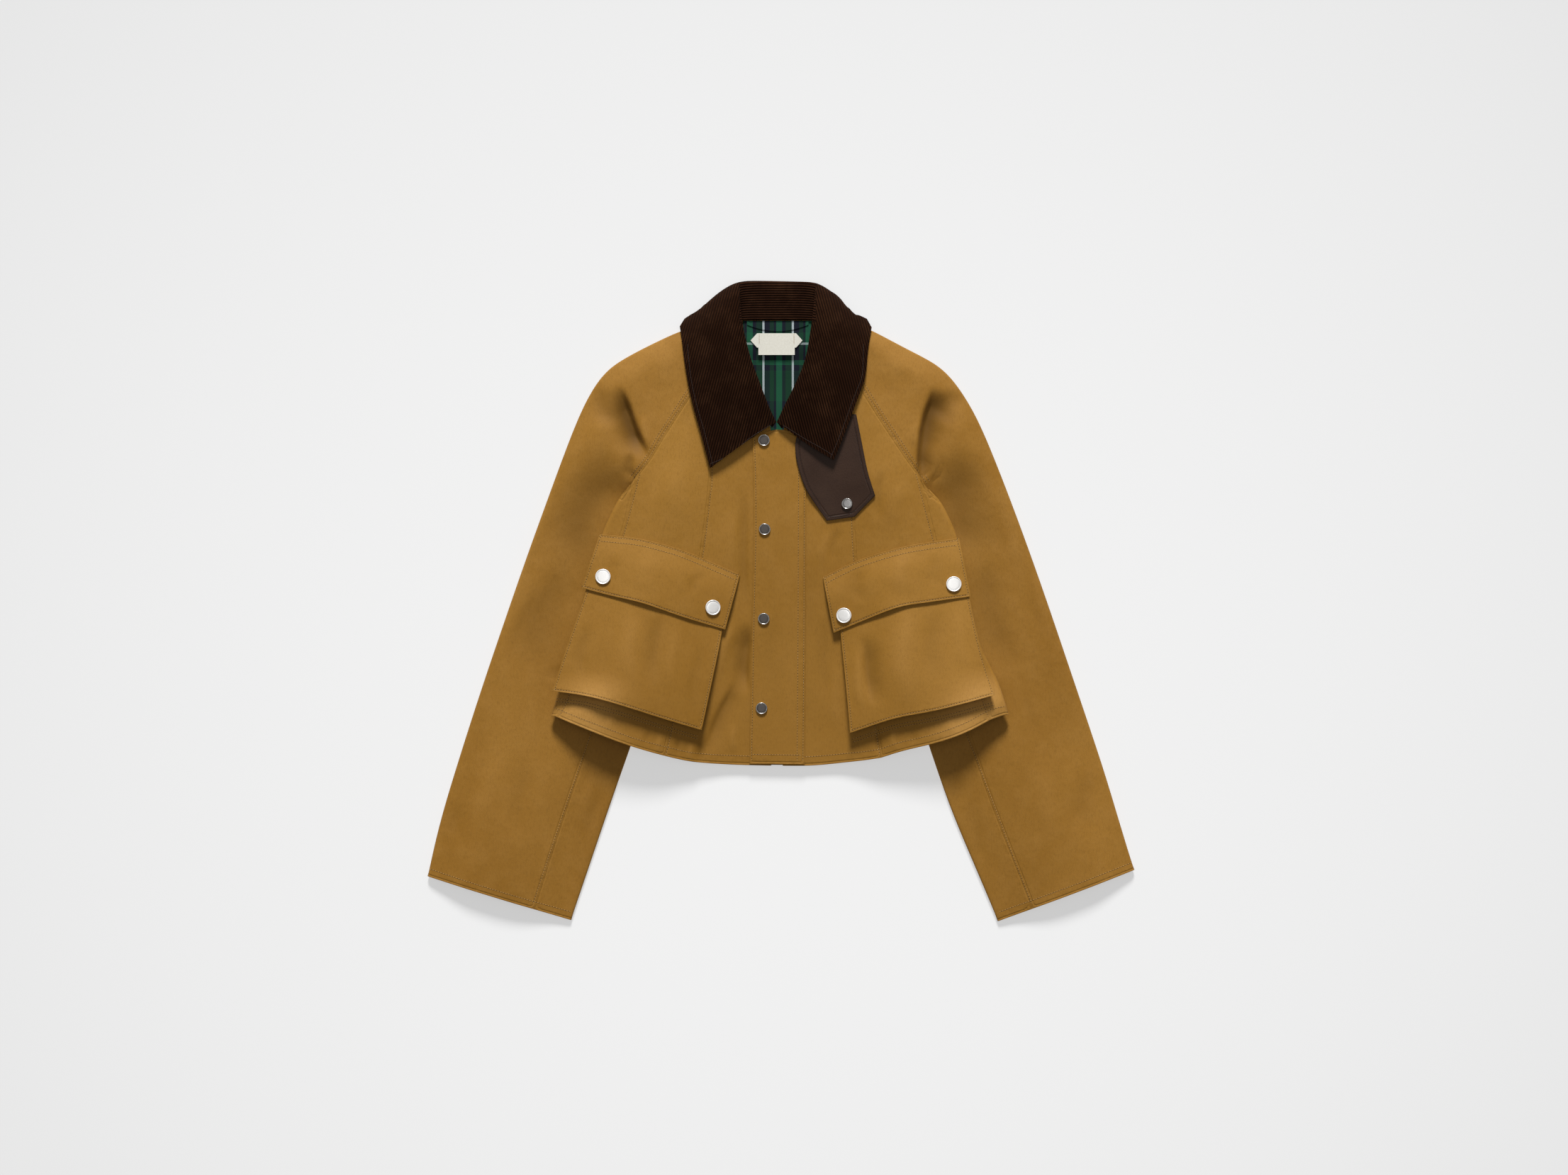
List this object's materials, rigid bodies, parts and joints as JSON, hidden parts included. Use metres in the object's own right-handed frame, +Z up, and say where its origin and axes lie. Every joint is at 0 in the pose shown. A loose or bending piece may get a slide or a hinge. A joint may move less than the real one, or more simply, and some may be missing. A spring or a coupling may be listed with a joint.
{
  "type": "waxed cotton jacket",
  "caption": "Cropped raglan jacket of waxed cotton laid flat, with bellows pockets, snap placket, corduroy collar and leather throat tab.",
  "frame": {"origin": "middle of the lying jacket's footprint, on the surface it lies on", "axes": "+X across the jacket, towards the right sleeve of the view from above; +Y from hem to collar; +Z up out of the surface"},
  "size_m": [0.8764, 0.794, 0.048],
  "materials": {
    "waxed_cotton": "tan waxed cotton, close weave, dry soft sheen",
    "corduroy": "dark brown corduroy, narrow wales",
    "leather": "dark brown smooth leather",
    "check_lining": "woven green and navy check with pale lines",
    "label_tape": "cream woven tape, blank",
    "dark_snap": "gunmetal snap cap",
    "pale_snap": "pale polished snap cap"
  },
  "bodies": {
    "root": {"back": "waxed_cotton", "side_left": "waxed_cotton", "front_mid_left": "waxed_cotton", "front_centre_left": "waxed_cotton", "sleeve_upper_left": "waxed_cotton", "sleeve_under_left": "waxed_cotton", "pocket_flap_left": "waxed_cotton", "pocket_face_left": "waxed_cotton", "pocket_gusset_left": "waxed_cotton", "side_right": "waxed_cotton", "front_mid_right": "waxed_cotton", "front_centre_right": "waxed_cotton", "sleeve_upper_right": "waxed_cotton", "sleeve_under_right": "waxed_cotton", "pocket_flap_right": "waxed_cotton", "pocket_face_right": "waxed_cotton", "pocket_gusset_right": "waxed_cotton", "placket": "waxed_cotton", "collar": "corduroy", "throat_tab": "leather", "back_lining": "check_lining", "hanger_loop": "check_lining", "neck_label": "label_tape", "placket_snap_1": "dark_snap", "placket_snap_2": "dark_snap", "placket_snap_3": "dark_snap", "placket_snap_4": "dark_snap", "flap_snap_left_outer": "pale_snap", "flap_snap_left_inner": "pale_snap", "flap_snap_right_outer": "pale_snap", "flap_snap_right_inner": "pale_snap", "tab_snap": "pale_snap"}
  },
  "joints": []
}
